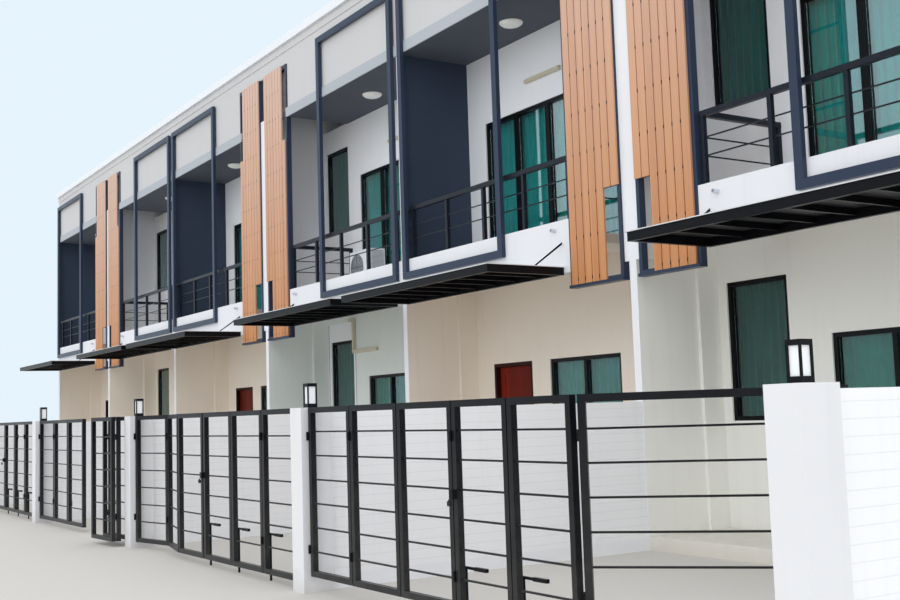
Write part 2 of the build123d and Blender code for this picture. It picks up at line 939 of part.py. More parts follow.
def main():
    os.makedirs("parts", exist_ok=True)
    save("ground_slab", [ground_slab()])
    save("party_walls", [party_wall_at(line) for line in party_lines])
    save("porch_walls_beside_doors", in_each_house(wall_beside_door))
    save("porch_walls_over_doors", in_each_house(wall_over_door))
    save("porch_walls_with_windows", in_each_house(wall_with_windows))
    save("upper_front_walls", in_each_house(upper_front_wall))
    save("rear_walls", in_each_house(rear_wall_bay))
    save("upper_floors", in_each_house(upper_floor))
    save("balcony_kerbs", kerb_beams())
    save("ceiling_bands", ceiling_bands())
    save("balcony_ceilings", in_each_house(balcony_ceiling))
    save("room_ceilings", in_each_house(room_ceiling))
    save("upper_wall", [upper_wall()])
    save("roof_sheeting", [roof_sheeting()])
    save("roof_edge", [roof_edge()])
    save("portal_frames", in_each_house(portal_frame))
    save("slat_frames", in_each_house(slat_frame))
    save("slat_boards", in_all_houses(slat_boards()))
    save("balcony_railings", in_each_house(railing_front))
    save("railing_returns", in_each_house(railing_return))
    save("canopy_frames", in_each_house(canopy_frame))
    save("canopy_covers", in_each_house(canopy_cover))
    save("canopy_stays", in_each_house(canopy_stay))
    save("drain_spouts", in_each_house(drain_spout))

    front = [(window_hole, 2), (tall_hole, 1), (upper_tall_hole, 1)]
    rear = [(window_hole, 2), (rear_upper_hole, 2)]
    frames = [window_frame(hole, lights, mullion) for hole, lights in front]
    frames += [to_rear(window_frame(hole, lights, mullion)) for hole, lights in rear]
    save("window_frames", in_all_houses(frames))
    panes = [pane for hole, lights in front for pane in glass_panes(hole, lights, mullion)]
    panes += [to_rear(pane) for hole, lights in rear for pane in glass_panes(hole, lights, mullion)]
    save("window_glass", in_all_houses(panes))
    sliding = (slider_hole, slider_lights, slider_mullion)
    save("sliding_door_frames", in_all_houses([window_frame(*sliding)]))
    save("sliding_door_glass", in_all_houses(glass_panes(*sliding)))

    shut_houses = [house for house in houses if house not in opening_doors]
    save("fixed_door_frames", [place(house, door_frame()) for house in shut_houses]
         + in_each_house(lambda: to_rear(door_frame())))
    save("opening_door_frames", [place(house, door_frame()) for house in opening_doors])
    save("fixed_doors", [place(house, door_leaf()) for house in shut_houses]
         + in_each_house(lambda: to_rear(door_leaf())))
    shut_pieces = shut_door_ironwork()
    save("fixed_door_ironwork", [place(house, piece) for house in shut_houses for piece in shut_pieces]
         + in_all_houses([to_rear(piece) for piece in shut_pieces]))
    opening_pieces = opening_door_ironwork()
    for house in opening_doors:
        save(f"house_{house}_door", [place(house, door_leaf())])
        save(f"house_{house}_door_ironwork", [place(house, piece) for piece in opening_pieces])

    ground = [curtain(hole, floor_top) for hole in (window_hole, tall_hole)]
    upper = [curtain(hole, upper_floor_top) for hole in (slider_hole, upper_tall_hole)]
    save("curtains", in_all_houses(ground + upper))

    save("ceiling_lamps", in_each_house(ceiling_lamp))
    save("tube_lights", in_each_house(tube_light))
    save("pipe_cover", [place(cover_house, pipe_cover())])
    save("outdoor_unit", [place(unit_house, outdoor_unit())])

    save("gate_posts", [gate_post(x) for x in fence_post_lines()])
    save("yard_walls", yard_walls())
    save("end_return_wall", [end_return_wall()])
    save("lantern_frames", [lantern(x) for x in fence_post_lines()])
    save("lantern_glass", [lantern_glass(x) for x in fence_post_lines()])
    save("folding_gates", gate_leaves())
    save("gate_hardware", gate_hardware())


main()
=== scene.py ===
# %% [markdown]
# # A row of six terraced houses, dressed for its portrait
# The construction comes from the CAD model: walls, steelwork, boards, joinery and gates, each in its
# real place and size. This lesson gives every surface its finish, hangs the curtains, adds the small
# fittings that only a close look shows, and sets up a camera at the photograph's viewpoint.

# %% Load the frame
import math

import bmesh
import bpy
from mathutils import Matrix, Vector, noise


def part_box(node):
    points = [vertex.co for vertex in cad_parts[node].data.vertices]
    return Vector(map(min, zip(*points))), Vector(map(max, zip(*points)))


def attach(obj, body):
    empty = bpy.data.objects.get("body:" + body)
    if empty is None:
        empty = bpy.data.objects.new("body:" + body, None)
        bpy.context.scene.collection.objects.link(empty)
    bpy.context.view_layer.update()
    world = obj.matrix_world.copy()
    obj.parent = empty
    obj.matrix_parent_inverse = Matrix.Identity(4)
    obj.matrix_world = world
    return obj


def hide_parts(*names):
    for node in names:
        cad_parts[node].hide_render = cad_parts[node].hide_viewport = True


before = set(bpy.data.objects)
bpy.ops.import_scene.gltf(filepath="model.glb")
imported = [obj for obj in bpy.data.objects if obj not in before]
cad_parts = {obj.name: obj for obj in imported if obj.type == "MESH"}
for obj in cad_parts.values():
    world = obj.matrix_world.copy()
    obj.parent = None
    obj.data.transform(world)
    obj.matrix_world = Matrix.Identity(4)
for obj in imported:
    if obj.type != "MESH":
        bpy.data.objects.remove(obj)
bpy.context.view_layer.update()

# %% [markdown]
# ## Where things are
# All six houses share one plan. Odd houses stand as drawn and even ones are mirrored, so a place is
# given as u, the distance from the party wall beside the portal frame, and turned into x for a house.
# The row's own zero is read back from two CAD pieces, so nothing has to be fitted by eye.

# %% Places shared with the construction
house_count = 6
half_wall = 0.055
walls_low, walls_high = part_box("party_walls")
row_x = walls_low.x + half_wall
row_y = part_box("ground_slab")[0].y
house_pitch = (walls_high.x - walls_low.x - 2 * half_wall) / house_count
houses = range(1, house_count + 1)
print("house pitch", round(house_pitch, 3), "row starts at", round(row_x, 3), round(row_y, 3))


def house_x(house, u):
    """x of a place at distance u from the portal side of a house."""
    if house % 2 == 0:
        return row_x + house * house_pitch - u
    return row_x + (house - 1) * house_pitch + u


def paint(red, green, blue):
    """A colour written as on a paint card, 0 to 255, made linear for the shader."""
    def linear(value):
        share = value / 255
        return share / 12.92 if share <= 0.04045 else ((share + 0.055) / 1.055) ** 2.4
    return (linear(red), linear(green), linear(blue), 1.0)


# %% [markdown]
# ## Shader groups
# Painted walls, painted steel and boards each repeat one idea: a colour that isn't quite even, a
# gloss that varies, and a fine surface. Building that once as a group with named sockets keeps the
# materials alike where the real finishes are alike.

# %% Helpers for node groups
def new_group(name, inputs, outputs):
    """An empty shader group; inputs are (name, kind, default), outputs are (name, kind)."""
    group = bpy.data.node_groups.new(name, "ShaderNodeTree")
    for title, kind, default in inputs:
        socket = group.interface.new_socket(name=title, in_out="INPUT", socket_type=kind)
        socket.default_value = default
    for title, kind in outputs:
        group.interface.new_socket(name=title, in_out="OUTPUT", socket_type=kind)
    source = group.nodes.new("NodeGroupInput")
    target = group.nodes.new("NodeGroupOutput")
    return group, source, target


def add_node(tree, kind, **settings):
    node = tree.nodes.new(kind)
    for name, value in settings.items():
        setattr(node, name, value)
    return node


def set_inputs(node, **values):
    for name, value in values.items():
        node.inputs[name.replace("_", " ")].default_value = value
    return node


def math_node(tree, operation, first, second=None, third=None, clamp=False):
    """A Math node fed by sockets or plain numbers."""
    node = add_node(tree, "ShaderNodeMath", operation=operation, use_clamp=clamp)
    for slot, value in enumerate((first, second, third)):
        if value is None:
            continue
        if isinstance(value, (int, float)):
            node.inputs[slot].default_value = value
        else:
            tree.links.new(value, node.inputs[slot])
    return node.outputs[0]


def noise_node(tree, vector, scale, detail=3.0, roughness=0.55):
    node = add_node(tree, "ShaderNodeTexNoise")
    set_inputs(node, Scale=scale, Detail=detail, Roughness=roughness)
    tree.links.new(vector, node.inputs["Vector"])
    return node.outputs["Fac"]


def mix_colours(tree, factor, first, second):
    """A colour between two, by a factor socket or number."""
    node = add_node(tree, "ShaderNodeMix", data_type="RGBA")
    for slot, value in (("Factor", factor), ("A", first), ("B", second)):
        socket = [s for s in node.inputs if s.name == slot and s.enabled][0]
        if isinstance(value, (int, float, tuple)):
            socket.default_value = value
        else:
            tree.links.new(value, socket)
    return [s for s in node.outputs if s.enabled][0]


def ramp(tree, value, low, high):
    """0 below low, 1 above high."""
    node = add_node(tree, "ShaderNodeMapRange", clamp=True)
    node.inputs["From Min"].default_value = low
    node.inputs["From Max"].default_value = high
    tree.links.new(value, node.inputs["Value"])
    return node.outputs["Result"]


def stretched(tree, vector, scale):
    """Coordinates scaled by different amounts along each axis."""
    node = add_node(tree, "ShaderNodeMapping")
    node.inputs["Scale"].default_value = scale
    tree.links.new(vector, node.inputs["Vector"])
    return node.outputs["Vector"]


# %% [markdown]
# ## Painted render
# Smooth cement render under emulsion paint is never one flat tone: it has broad patches from the
# trowel, faint runs below edges and a little splashed dirt just above the ground. Three noises of
# different size give the patches, the runs and the fine tooth of the plaster.

# %% The render group
splash_least = 0.05
splash_swing = 0.35
plaster_bump = (0.002, 0.35)


def build_render_group():
    group, source, target = new_group(
        "painted_render",
        [("Colour", "NodeSocketColor", (0.8, 0.8, 0.8, 1)), ("Patches", "NodeSocketFloat", 0.05),
         ("Runs", "NodeSocketFloat", 0.06), ("Splash", "NodeSocketFloat", 0.25)],
        [("Colour", "NodeSocketColor"), ("Roughness", "NodeSocketFloat"), ("Height", "NodeSocketFloat")])
    place = add_node(group, "ShaderNodeTexCoord").outputs["Object"]
    patches = noise_node(group, place, 0.55, 4.0, 0.6)
    tooth = noise_node(group, place, 90.0, 2.0, 0.6)
    trowel = noise_node(group, stretched(group, place, (1.0, 1.0, 2.2)), 3.0, 3.0, 0.5)
    runs = noise_node(group, stretched(group, place, (9.0, 9.0, 0.35)), 1.0, 4.0, 0.6)
    runs_mask = ramp(group, runs, 0.55, 0.8)
    parts = add_node(group, "ShaderNodeSeparateXYZ")
    group.links.new(place, parts.inputs[0])
    edge = math_node(group, "MULTIPLY_ADD", noise_node(group, place, 7.0, 3.0), splash_swing, splash_least)
    low = math_node(group, "DIVIDE", parts.outputs["Z"], edge)
    splash_mask = math_node(group, "SUBTRACT", 1.0, low, clamp=True)
    darker = math_node(group, "SUBTRACT", patches, 0.5)
    shade = math_node(group, "MULTIPLY", darker, source.outputs["Patches"])
    shade = math_node(group, "ADD", math_node(group, "MULTIPLY", shade, 2.0), 1.0)
    run_shade = math_node(group, "MULTIPLY", runs_mask, source.outputs["Runs"])
    shade = math_node(group, "SUBTRACT", shade, run_shade)
    scaled = add_node(group, "ShaderNodeVectorMath", operation="SCALE")
    group.links.new(source.outputs["Colour"], scaled.inputs[0])
    group.links.new(shade, scaled.inputs["Scale"])
    splash = math_node(group, "MULTIPLY", splash_mask, source.outputs["Splash"])
    colour = mix_colours(group, splash, scaled.outputs[0], paint(146, 132, 112))
    group.links.new(colour, target.inputs["Colour"])
    rough = math_node(group, "MULTIPLY_ADD", trowel, 0.16, 0.66)
    group.links.new(rough, target.inputs["Roughness"])
    height = math_node(group, "ADD", math_node(group, "MULTIPLY", trowel, 0.8),
                       math_node(group, "MULTIPLY", tooth, 0.2))
    group.links.new(height, target.inputs["Height"])
    return group


render_group = build_render_group()
print("built", render_group.name)


# %% A material from a group
def start_material(name, slot_roughness=0.5, **sockets):
    """A material with its Principled shader; constant values are set on the shader's own sockets."""
    material = bpy.data.materials.new(name)
    material.use_nodes = True
    shader = material.node_tree.nodes["Principled BSDF"]
    shader.inputs["Roughness"].default_value = slot_roughness
    for title, value in sockets.items():
        shader.inputs[title.replace("_", " ")].default_value = value
    return material, material.node_tree, shader


def use_group(tree, group, **values):
    node = add_node(tree, "ShaderNodeGroup", node_tree=group)
    return set_inputs(node, **values)


def add_bump(tree, shader, height, distance, strength):
    bump = set_inputs(add_node(tree, "ShaderNodeBump"), Distance=distance, Strength=strength)
    tree.links.new(height, bump.inputs["Height"])
    tree.links.new(bump.outputs["Normal"], shader.inputs["Normal"])


def link_surface(tree, shader, node, bump_distance, bump_strength):
    """Feeds a group's colour, roughness and height into the shader."""
    tree.links.new(node.outputs["Colour"], shader.inputs["Base Color"])
    tree.links.new(node.outputs["Roughness"], shader.inputs["Roughness"])
    add_bump(tree, shader, node.outputs["Height"], bump_distance, bump_strength)


def render_paint(name, colour, patches=0.05, runs=0.05, splash=0.25):
    material, tree, shader = start_material(name)
    group = use_group(tree, render_group, Colour=colour, Patches=patches, Runs=runs, Splash=splash)
    link_surface(tree, shader, group, *plaster_bump)
    return material


white_render = render_paint("white_render", paint(233, 234, 238))
room_render = render_paint("room_render", paint(244, 247, 252))
beige_render = render_paint("beige_render", paint(206, 206, 208), patches=0.04)
grey_render = render_paint("grey_render", paint(180, 186, 194))
floor_render = render_paint("floor_render", paint(236, 232, 224), patches=0.08, splash=0.2)
ceiling_paint = render_paint("ceiling_paint", paint(84, 90, 101), runs=0.0)

# %% [markdown]
# ## Paint that changes from house to house
# The porches differ: most are warm cream, one is a grey-white whose green cast is painted light reflected
# from plants, and the near one is plain white.
# A house is known from x alone, once the point is moved a little way out of the wall along its
# normal, so both faces of a shared wall take the colour of the porch that they look into.

# %% Porch colours
# The grey-white carries a green cast that is painted reflected light from plants.
cream, grey_white_green_bounce, plain_white = paint(249, 239, 226), paint(226, 232, 228), paint(247, 247, 242)
cool_house = 4
white_house = 6
step_out = 0.2


def build_porch_colours():
    group, source, target = new_group("porch_colours", [("Cream", "NodeSocketColor", cream)],
                                      [("Colour", "NodeSocketColor"), ("House", "NodeSocketFloat")])
    texture = add_node(group, "ShaderNodeTexCoord")
    spot = add_node(group, "ShaderNodeSeparateXYZ")
    facing = add_node(group, "ShaderNodeSeparateXYZ")
    group.links.new(texture.outputs["Object"], spot.inputs[0])
    group.links.new(texture.outputs["Normal"], facing.inputs[0])
    outward = math_node(group, "MULTIPLY", facing.outputs["X"], step_out)
    along = math_node(group, "SUBTRACT", math_node(group, "ADD", spot.outputs["X"], outward), row_x)
    number = math_node(group, "CEIL", math_node(group, "DIVIDE", along, house_pitch))
    colour = source.outputs["Cream"]
    for house, tone in ((cool_house, grey_white_green_bounce), (white_house, plain_white)):
        is_house = math_node(group, "LESS_THAN", math_node(group, "ABSOLUTE",
                             math_node(group, "SUBTRACT", number, float(house))), 0.5)
        colour = mix_colours(group, is_house, colour, tone)
    group.links.new(colour, target.inputs["Colour"])
    group.links.new(number, target.inputs["House"])
    return group


porch_colours = build_porch_colours()


def porch_paint(tree):
    """The render group with the house's own porch colour fed in."""
    tones = use_group(tree, porch_colours)
    group = use_group(tree, render_group, Patches=0.05, Runs=0.05, Splash=0.2)
    tree.links.new(tones.outputs["Colour"], group.inputs["Colour"])
    return group


def porch_wall_paint():
    material, tree, shader = start_material("porch_render")
    link_surface(tree, shader, porch_paint(tree), *plaster_bump)
    return material


porch_render = porch_wall_paint()

# %% [markdown]
# ## The party walls
# One wall carries three paints. It is white outside, porch-coloured below, and one face of each balcony
# is painted a deep slate blue. The slate face is picked out by its place and the way it looks, so the
# paint ends on the wall's own edges.

# %% Slate panels on the balcony side walls
balcony_floor = 3.66
balcony_ceiling = 6.91
porch_depth = 1.2
porch_ceiling = 3.56
wall_end = 0.01
paint_overlap = 0.1


def party_paint():
    material, tree, shader = start_material("party_render")
    group = use_group(tree, render_group, Colour=paint(240, 242, 247), Patches=0.05, Runs=0.05, Splash=0.2)
    slate = use_group(tree, render_group, Colour=paint(46, 58, 80), Patches=0.06, Runs=0.04, Splash=0.0)
    texture = add_node(tree, "ShaderNodeTexCoord")
    spot = add_node(tree, "ShaderNodeSeparateXYZ")
    side = add_node(tree, "ShaderNodeSeparateXYZ")
    tree.links.new(texture.outputs["Object"], spot.inputs[0])
    tree.links.new(texture.outputs["Normal"], side.inputs[0])
    looks_right = math_node(tree, "GREATER_THAN", side.outputs["X"], 0.5)
    above = math_node(tree, "GREATER_THAN", spot.outputs["Z"], balcony_floor)
    below = math_node(tree, "LESS_THAN", spot.outputs["Z"], balcony_ceiling)
    front = math_node(tree, "LESS_THAN", spot.outputs["Y"], row_y + porch_depth)
    cycle = math_node(tree, "SUBTRACT", spot.outputs["X"], row_x - house_pitch / 2)
    cycle = math_node(tree, "FLOORED_MODULO", cycle, 2 * house_pitch)
    even_line = math_node(tree, "LESS_THAN", cycle, house_pitch)
    last_line = row_x + (house_count - 0.5) * house_pitch
    inside = math_node(tree, "LESS_THAN", spot.outputs["X"], last_line)
    mask = looks_right
    for part in (above, below, front, even_line, inside):
        mask = math_node(tree, "MULTIPLY", mask, part)
    porch = math_node(tree, "LESS_THAN", spot.outputs["Z"], porch_ceiling)
    row_end = row_x + house_count * house_pitch
    reach = (("Y", row_y + wall_end, row_y + porch_depth + paint_overlap), ("X", row_x, row_end))
    for axis, low, high in reach:
        porch = math_node(tree, "MULTIPLY", porch, math_node(tree, "GREATER_THAN", spot.outputs[axis], low))
        porch = math_node(tree, "MULTIPLY", porch, math_node(tree, "LESS_THAN", spot.outputs[axis], high))
    colour = mix_colours(tree, porch, group.outputs["Colour"], porch_paint(tree).outputs["Colour"])
    colour = mix_colours(tree, mask, colour, slate.outputs["Colour"])
    link_surface(tree, shader, group, *plaster_bump)
    tree.links.new(colour, shader.inputs["Base Color"])
    return material


party_render = party_paint()

# %% [markdown]
# ## The porch wall with the windows
# In one house the bay round the tall porch window was painted plain white, with a dark line of painted shadow
# down each side. It is a patch of the same wall, so it is picked out by its place too.

# %% White bay round the tall porch window
white_bay = (3.82, 4.88)
white_bay_top = 3.25
# Width of the painted shadow line down each side of the bay.
shadow_line_width = 0.016


def band_mask(tree, spot, low_x, high_x, top):
    """1 between two x places and under a height."""
    between = math_node(tree, "MULTIPLY", math_node(tree, "GREATER_THAN", spot.outputs["X"], low_x),
                        math_node(tree, "LESS_THAN", spot.outputs["X"], high_x))
    return math_node(tree, "MULTIPLY", between, math_node(tree, "LESS_THAN", spot.outputs["Z"], top))


def window_wall_paint():
    material, tree, shader = start_material("window_wall_render")
    group = porch_paint(tree)
    spot = add_node(tree, "ShaderNodeSeparateXYZ")
    tree.links.new(add_node(tree, "ShaderNodeTexCoord").outputs["Object"], spot.inputs[0])
    ends = sorted(house_x(cool_house, u) for u in white_bay)
    bay_and_shadow_lines = band_mask(tree, spot, ends[0], ends[1], white_bay_top)
    inner = band_mask(tree, spot, ends[0] + shadow_line_width, ends[1] - shadow_line_width, white_bay_top)
    # The near-black strips left at both edges of the bay are painted shadow.
    colour = mix_colours(tree, bay_and_shadow_lines, group.outputs["Colour"], paint(24, 26, 32))
    colour = mix_colours(tree, inner, colour, paint(240, 242, 246))
    link_surface(tree, shader, group, *plaster_bump)
    tree.links.new(colour, shader.inputs["Base Color"])
    return material


window_wall_render = window_wall_paint()

# %% [markdown]
# ## Yard walls
# The yard walls are cast in boarded panels, so faint level lines cross them, and a white skirting is
# painted along the foot.

# %% Lined yard wall
board_line_pitch = 0.09
board_line = 0.07
line_strength = 0.12
skirting_top = 0.13


def yard_wall_paint():
    material, tree, shader = start_material("yard_wall_render")
    group = use_group(tree, render_group, Colour=paint(249, 250, 253), Patches=0.05, Runs=0.06, Splash=0.0)
    spot = add_node(tree, "ShaderNodeSeparateXYZ")
    tree.links.new(add_node(tree, "ShaderNodeTexCoord").outputs["Object"], spot.inputs[0])
    share = math_node(tree, "FRACT", math_node(tree, "DIVIDE", spot.outputs["Z"], board_line_pitch))
    line = math_node(tree, "LESS_THAN", share, board_line)
    foot = math_node(tree, "LESS_THAN", spot.outputs["Z"], skirting_top)
    faint = math_node(tree, "MULTIPLY", line, line_strength)
    colour = mix_colours(tree, faint, group.outputs["Colour"], paint(120, 124, 132))
    colour = mix_colours(tree, foot, colour, paint(244, 246, 250))
    link_surface(tree, shader, group, *plaster_bump)
    tree.links.new(colour, shader.inputs["Base Color"])
    return material


yard_wall_render = yard_wall_paint()

# %% [markdown]
# ## Canopy sheet
# The sheet over each canopy is white on top and along its edge; its underside, seen between the rafters, is
# coloured near-black as painted shade.

# %% Two-sided canopy sheet
def sheet_paint():
    material, tree, shader = start_material("canopy_sheet", 0.5)
    texture = add_node(tree, "ShaderNodeTexCoord")
    facing = add_node(tree, "ShaderNodeSeparateXYZ")
    tree.links.new(texture.outputs["Normal"], facing.inputs[0])
    # Painted shade: faces that look down get a near-black colour in place of the sheet's white.
    below = math_node(tree, "LESS_THAN", facing.outputs["Z"], -0.5)
    cloud = noise_node(tree, texture.outputs["Object"], 2.2, 4.0, 0.6)
    top = mix_colours(tree, cloud, paint(236, 238, 242), paint(206, 206, 204))
    # The underside colours below are painted shade.
    under = mix_colours(tree, cloud, paint(20, 22, 28), paint(44, 44, 48))
    tree.links.new(mix_colours(tree, below, top, under), shader.inputs["Base Color"])
    return material


canopy_sheet = sheet_paint()

# %% [markdown]
# ## Painted steel
# Rails, canopies and gates are square tube sprayed near-black, and the hoops are slate blue. The paint
# is a soft satin that picks up the sky on every upper and front edge, with a film of dust that lies
# thickest on top.

# %% The steel group
def build_steel_group():
    group, source, target = new_group(
        "painted_steel",
        [("Colour", "NodeSocketColor", (0.02, 0.02, 0.03, 1)), ("Dust", "NodeSocketFloat", 0.2),
         ("Low Dust", "NodeSocketFloat", 0.0)],
        [("Colour", "NodeSocketColor"), ("Roughness", "NodeSocketFloat"), ("Height", "NodeSocketFloat")])
    texture = add_node(group, "ShaderNodeTexCoord")
    place = texture.outputs["Object"]
    facing = add_node(group, "ShaderNodeSeparateXYZ")
    group.links.new(texture.outputs["Normal"], facing.inputs[0])
    cloudy = noise_node(group, place, 6.0, 4.0, 0.6)
    speckle = noise_node(group, place, 140.0, 2.0, 0.5)
    upward = math_node(group, "MULTIPLY", facing.outputs["Z"], 1.0, clamp=True)
    film = math_node(group, "MULTIPLY_ADD", upward, 0.8, 0.12)
    film = math_node(group, "MULTIPLY", film, ramp(group, cloudy, 0.3, 0.75))
    film = math_node(group, "MULTIPLY", film, source.outputs["Dust"])
    height = add_node(group, "ShaderNodeSeparateXYZ")
    group.links.new(place, height.inputs[0])
    near_ground = math_node(group, "SUBTRACT", 1.0, ramp(group, height.outputs["Z"], 0.0, 1.5))
    splashed = math_node(group, "MULTIPLY", near_ground, source.outputs["Low Dust"])
    film = math_node(group, "ADD", film, math_node(group, "MULTIPLY", splashed, cloudy))
    colour = mix_colours(group, film, source.outputs["Colour"], paint(168, 166, 160))
    group.links.new(colour, target.inputs["Colour"])
    rough = math_node(group, "MULTIPLY_ADD", cloudy, 0.18, 0.24)
    rough = math_node(group, "ADD", rough, math_node(group, "MULTIPLY", film, 0.5))
    group.links.new(rough, target.inputs["Roughness"])
    group.links.new(speckle, target.inputs["Height"])
    return group


steel_group = build_steel_group()


def steel_paint(name, colour, dust=0.25, low_dust=0.0, coat=0.0, gloss=0.5):
    material, tree, shader = start_material(name, Coat_Weight=coat, Coat_Roughness=0.25,
                                            Specular_IOR_Level=gloss)
    group = use_group(tree, steel_group, Colour=colour, Dust=dust, Low_Dust=low_dust)
    link_surface(tree, shader, group, 0.0004, 0.25)
    return material


hoop_steel = steel_paint("hoop_steel", paint(44, 56, 78), dust=0.12, gloss=0.25)
rail_steel = steel_paint("rail_steel", paint(22, 27, 38), dust=0.12, gloss=0.2)
canopy_steel = steel_paint("canopy_steel", paint(12, 13, 18), dust=0.06, gloss=0.12)
gate_steel = steel_paint("gate_steel", paint(14, 16, 22), dust=0.08, low_dust=0.16, gloss=0.15)
joinery_black = steel_paint("joinery_black", paint(8, 10, 14), dust=0.04, gloss=0.15)
roof_metal = steel_paint("roof_metal", paint(176, 180, 184), dust=0.4)
white_metal = steel_paint("white_metal", paint(240, 243, 248), dust=0.12)
handle_steel = steel_paint("handle_steel", paint(176, 174, 170), dust=0.1, coat=0.4)
clip_plastic = steel_paint("clip_plastic", paint(62, 42, 34), dust=0.1, gloss=0.2)
louvre_metal = steel_paint("louvre_metal", paint(150, 158, 164), dust=0.3)

# %% [markdown]
# ## Boards and doors
# The upright boards are fibre-cement planks stained to look like light teak, so each plank has its own
# tone and a faint grain that runs up it. The entrance doors are a dark red timber under varnish.

# %% The board group
board_pitch = 0.12786
board_gap = 0.015
first_board_edge = 4.86


def build_board_group():
    group, source, target = new_group(
        "stained_board",
        [("Light", "NodeSocketColor", (0.6, 0.35, 0.2, 1)), ("Dark", "NodeSocketColor", (0.4, 0.2, 0.1, 1)),
         ("Plank", "NodeSocketFloat", 0.13), ("Weathering", "NodeSocketFloat", 0.3)],
        [("Colour", "NodeSocketColor"), ("Roughness", "NodeSocketFloat"), ("Height", "NodeSocketFloat")])
    place = add_node(group, "ShaderNodeTexCoord").outputs["Object"]
    spot = add_node(group, "ShaderNodeSeparateXYZ")
    group.links.new(place, spot.inputs[0])
    number = math_node(group, "FLOOR", math_node(group, "DIVIDE", spot.outputs["X"], source.outputs["Plank"]))
    tone = add_node(group, "ShaderNodeTexWhiteNoise", noise_dimensions="1D")
    group.links.new(number, tone.inputs["W"])
    grain = noise_node(group, stretched(group, place, (60.0, 60.0, 2.4)), 1.0, 5.0, 0.65)
    bands = noise_node(group, stretched(group, place, (16.0, 16.0, 0.6)), 1.0, 3.0, 0.5)
    blend = math_node(group, "ADD", math_node(group, "MULTIPLY", grain, 0.55),
                      math_node(group, "MULTIPLY", tone.outputs["Value"], 0.35))
    blend = math_node(group, "ADD", blend, math_node(group, "MULTIPLY", bands, 0.3))
    blend = ramp(group, blend, 0.3, 0.9)
    colour = mix_colours(group, blend, source.outputs["Dark"], source.outputs["Light"])
    # The boards turn paler towards the top, from 3.2 m up to 7.6 m.
    paler_up_high = ramp(group, spot.outputs["Z"], 3.2, 7.6)
    paler_up_high = math_node(group, "MULTIPLY", paler_up_high, source.outputs["Weathering"])
    colour = mix_colours(group, paler_up_high, colour, paint(226, 206, 196))
    group.links.new(colour, target.inputs["Colour"])
    rough = math_node(group, "MULTIPLY_ADD", grain, 0.2, 0.42)
    group.links.new(rough, target.inputs["Roughness"])
    group.links.new(grain, target.inputs["Height"])
    return group


board_group = build_board_group()


def timber(name, light, dark, plank, lightening, gloss):
    material, tree, shader = start_material(name, Specular_IOR_Level=gloss)
    group = use_group(tree, board_group, Light=light, Dark=dark, Plank=plank, Weathering=lightening)
    link_surface(tree, shader, group, 0.0008, 0.4)
    return material


teak_board = timber("teak_board", paint(216, 154, 104), paint(190, 126, 80), board_pitch, 0.6, 0.3)
door_wood = timber("door_wood", paint(142, 42, 25), paint(84, 18, 12), 0.21, 0.0, 0.15)
# The door frames are dark brown, darkened further as painted shade along the door edges.
shade_darkened_frame_wood = timber("shade_darkened_frame_wood", paint(58, 24, 19), paint(34, 14, 12), 0.21, 0.0, 0.15)

# %% [markdown]
# ## Glass and opal plastic
# The panes are clear with a slight green cast. The sliding doors carry a sun film that mirrors more of
# the sky than bare glass does, made as a coat with a high index of refraction. Light on its way to a
# curtain is let through unbent, which keeps the curtains bright without thousands of samples.

# %% Glass
film_index = 2.0


def window_glass(name, tint, roughness, film):
    material, tree, shader = start_material(name, roughness, Transmission_Weight=1.0, IOR=1.45,
                                            Coat_IOR=film_index, Coat_Roughness=0.02, Coat_Weight=film)
    shader.inputs["Base Color"].default_value = tint
    ripple = noise_node(tree, add_node(tree, "ShaderNodeTexCoord").outputs["Object"], 0.9, 1.0, 0.4)
    add_bump(tree, shader, ripple, 0.02, 0.05)
    clear = add_node(tree, "ShaderNodeBsdfTransparent")
    clear.inputs["Color"].default_value = tint
    path = add_node(tree, "ShaderNodeLightPath")
    mixer = add_node(tree, "ShaderNodeMixShader")
    tree.links.new(path.outputs["Is Shadow Ray"], mixer.inputs["Fac"])
    tree.links.new(shader.outputs["BSDF"], mixer.inputs[1])
    tree.links.new(clear.outputs["BSDF"], mixer.inputs[2])
    tree.links.new(mixer.outputs["Shader"], tree.nodes["Material Output"].inputs["Surface"])
    return material


pane_glass = window_glass("pane_glass", (0.72, 0.92, 0.90, 1.0), 0.02, 0.0)
film_glass = window_glass("film_glass", (0.72, 0.92, 0.92, 1.0), 0.02, 1.0)


def opal(name, colour, painted_glow):
    material, tree, shader = start_material(name, 0.35, Subsurface_Weight=0.1)
    cloud = noise_node(tree, add_node(tree, "ShaderNodeTexCoord").outputs["Object"], 14.0, 2.0)
    colour_socket = mix_colours(tree, math_node(tree, "MULTIPLY", cloud, 0.12), colour, paint(196, 192, 180))
    tree.links.new(colour_socket, shader.inputs["Base Color"])
    tree.links.new(colour_socket, shader.inputs["Emission Color"])
    # The emission is a faint painted glow that keeps the opal looking bright.
    shader.inputs["Emission Strength"].default_value = painted_glow
    return material


# The lamp shades and lantern panes carry a faint painted glow.
opal_shade = opal("opal_shade", paint(238, 239, 236), 0.12)
lantern_pane = opal("lantern_pane", paint(240, 242, 246), 0.15)
cream_plastic = opal("cream_plastic", paint(206, 200, 178), 0.0)
pale_plastic = opal("pale_plastic", paint(206, 212, 222), 0.0)

# %% [markdown]
# ## Give every CAD piece its finish
# A node's shape stays as the construction made it. Only its material slot is filled, from one table
# that reads like a finishing schedule.

